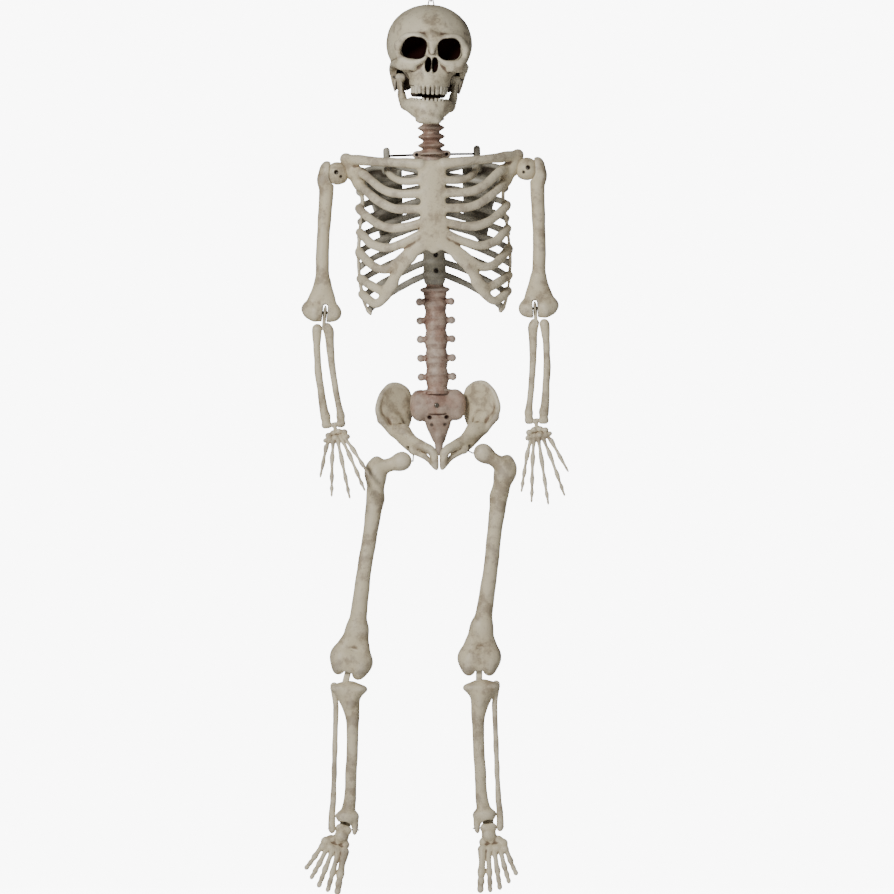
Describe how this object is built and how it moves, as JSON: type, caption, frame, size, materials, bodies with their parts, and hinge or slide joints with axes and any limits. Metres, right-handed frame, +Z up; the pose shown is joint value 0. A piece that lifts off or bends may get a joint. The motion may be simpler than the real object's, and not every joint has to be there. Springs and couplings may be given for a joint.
{
  "type": "halloween skeleton figure",
  "caption": "Life-size hanging human skeleton figure of moulded bones with hinged jaw, shoulders, elbows, wrists, hips, knees and ankles, hung by a ring above the skull.",
  "frame": {"origin": "middle of the hanging ring above the crown of the skull", "axes": "+Z up along the hanging figure, -Y the way it faces, +X its own left side"},
  "size_m": [0.4559, 0.1898, 1.5661],
  "materials": {
    "bone": "aged ivory plastic with a brown wash in its hollows",
    "skull_bone": "aged ivory plastic, satin, nearly black inside sockets and mouth",
    "stained_bone": "ivory plastic under a pinkish brown stain",
    "steel_pin": "dull zinc-plated steel",
    "bronze_wire": "dark bronzed wire",
    "dark_rod": "dark brown painted rod"
  },
  "bodies": {
    "hanger": {"hanging_ring": "bronze_wire"},
    "skull": {"crown_staple": "bronze_wire", "skull_face_shell": "skull_bone", "skull_back_shell": "skull_bone", "jaw_pivot_screws": "steel_pin", "neck_plug": "bone"},
    "jaw": {"jaw": "skull_bone"},
    "torso": {"neck_column": "bone", "ribcage_front": "bone", "ribcage_back": "bone", "shoulder_bolts": "steel_pin", "sternum_screw": "steel_pin", "spine_screws": "steel_pin", "left_scapula": "bone", "right_scapula": "bone", "left_shoulder_stay": "dark_rod", "right_shoulder_stay": "dark_rod", "lumbar_spine": "stained_bone", "sacrum": "stained_bone", "sacrum_screw": "steel_pin", "left_hip_bone": "bone", "right_hip_bone": "bone", "left_hip_eye_pin": "steel_pin", "right_hip_eye_pin": "steel_pin"},
    "left_shoulder": {"left_shoulder_disc": "bone", "left_shoulder_screw": "steel_pin"},
    "left_upper_arm": {"left_humerus": "bone", "left_elbow_pin": "steel_pin"},
    "left_forearm": {"left_ulna": "bone", "left_radius": "bone", "left_wrist_pin": "steel_pin"},
    "left_hand": {"left_hand": "bone"},
    "left_hip_link": {"left_hip_wire": "steel_pin"},
    "left_thigh": {"left_femur": "bone", "left_knee_pin": "steel_pin"},
    "left_shin": {"left_tibia": "bone", "left_fibula": "bone", "left_ankle_wire": "steel_pin"},
    "left_foot": {"left_foot": "bone"},
    "right_shoulder": {"right_shoulder_disc": "bone", "right_shoulder_screw": "steel_pin"},
    "right_upper_arm": {"right_humerus": "bone", "right_elbow_pin": "steel_pin"},
    "right_forearm": {"right_ulna": "bone", "right_radius": "bone", "right_wrist_pin": "steel_pin"},
    "right_hand": {"right_hand": "bone"},
    "right_hip_link": {"right_hip_wire": "steel_pin"},
    "right_thigh": {"right_femur": "bone", "right_knee_pin": "steel_pin"},
    "right_shin": {"right_tibia": "bone", "right_fibula": "bone", "right_ankle_wire": "steel_pin"},
    "right_foot": {"right_foot": "bone"}
  },
  "joints": [
    {"name": "hang_swing", "type": "hinge", "parent": "hanger", "child": "skull", "pos_m": [0, 0, -0.0092], "axis": [1, 0, 0], "range_deg": [-25, 25]},
    {"name": "jaw_drop", "type": "hinge", "parent": "skull", "child": "jaw", "pos_m": [-0.00541, 0, -0.14488], "axis": [0.9972, 0.061, -0.0435], "range_deg": [-5, 12]},
    {"name": "neck_turn", "type": "hinge", "parent": "skull", "child": "torso", "pos_m": [-0.00096, 0.018, -0.18501], "axis": [-0.0241, 0, 0.9997], "range_deg": [-60, 60]},
    {"name": "left_shoulder_swing", "type": "hinge", "parent": "torso", "child": "left_shoulder", "pos_m": [0.16486, 0.006, -0.30005], "axis": [-0.9997, 0, -0.0241], "range_deg": [-30, 120]},
    {"name": "left_shoulder_lift", "type": "hinge", "parent": "left_shoulder", "child": "left_upper_arm", "pos_m": [0.16486, 0.006, -0.30005], "axis": [0, -1, 0], "range_deg": [0, 50]},
    {"name": "left_elbow_bend", "type": "hinge", "parent": "left_upper_arm", "child": "left_forearm", "pos_m": [0.17909, 0.006, -0.53963], "axis": [-0.9982, 0, -0.0593], "range_deg": [0, 105]},
    {"name": "left_wrist_swing", "type": "hinge", "parent": "left_forearm", "child": "left_hand", "pos_m": [0.1801, 0.006, -0.73363], "axis": [-1, 0, -0.0052], "range_deg": [-12, 60]},
    {"name": "left_hip_sway", "type": "hinge", "parent": "torso", "child": "left_hip_link", "pos_m": [0.0564, 0.004, -0.7808], "axis": [0, -1, 0], "range_deg": [-4, 14]},
    {"name": "left_hip_swing", "type": "hinge", "parent": "left_hip_link", "child": "left_thigh", "pos_m": [0.0894, 0.004, -0.7888], "axis": [-1, 0, 0], "range_deg": [-15, 70]},
    {"name": "left_knee_bend", "type": "hinge", "parent": "left_thigh", "child": "left_shin", "pos_m": [0.08317, 0.004, -1.14575], "axis": [0.9998, 0, -0.0175], "range_deg": [0, 110]},
    {"name": "left_ankle_bend", "type": "hinge", "parent": "left_shin", "child": "left_foot", "pos_m": [0.09875, 0.004, -1.43333], "axis": [-0.9985, 0, -0.0541], "range_deg": [-2, 40]},
    {"name": "right_shoulder_swing", "type": "hinge", "parent": "torso", "child": "right_shoulder", "pos_m": [-0.16105, 0.006, -0.3079], "axis": [-0.9997, 0, -0.0241], "range_deg": [-30, 120]},
    {"name": "right_shoulder_lift", "type": "hinge", "parent": "right_shoulder", "child": "right_upper_arm", "pos_m": [-0.16105, 0.006, -0.3079], "axis": [0, 1, 0], "range_deg": [-3, 50]},
    {"name": "right_elbow_bend", "type": "hinge", "parent": "right_upper_arm", "child": "right_forearm", "pos_m": [-0.18238, 0.006, -0.54695], "axis": [-0.996, 0, 0.0889], "range_deg": [0, 105]},
    {"name": "right_wrist_swing", "type": "hinge", "parent": "right_forearm", "child": "right_hand", "pos_m": [-0.16615, 0.006, -0.74027], "axis": [-0.9965, 0, -0.0837], "range_deg": [-18, 60]},
    {"name": "right_hip_sway", "type": "hinge", "parent": "torso", "child": "right_hip_link", "pos_m": [-0.02957, 0.004, -0.78287], "axis": [0, 1, 0], "range_deg": [-10, 15]},
    {"name": "right_hip_swing", "type": "hinge", "parent": "right_hip_link", "child": "right_thigh", "pos_m": [-0.04957, 0.004, -0.80287], "axis": [-1, 0, 0], "range_deg": [-15, 40]},
    {"name": "right_knee_bend", "type": "hinge", "parent": "right_thigh", "child": "right_shin", "pos_m": [-0.13836, 0.004, -1.14866], "axis": [0.9686, 0, -0.2487], "range_deg": [0, 110]},
    {"name": "right_ankle_bend", "type": "hinge", "parent": "right_shin", "child": "right_foot", "pos_m": [-0.15042, 0.004, -1.43641], "axis": [-0.9991, 0, 0.0419], "range_deg": [-2, 40]}
  ]
}
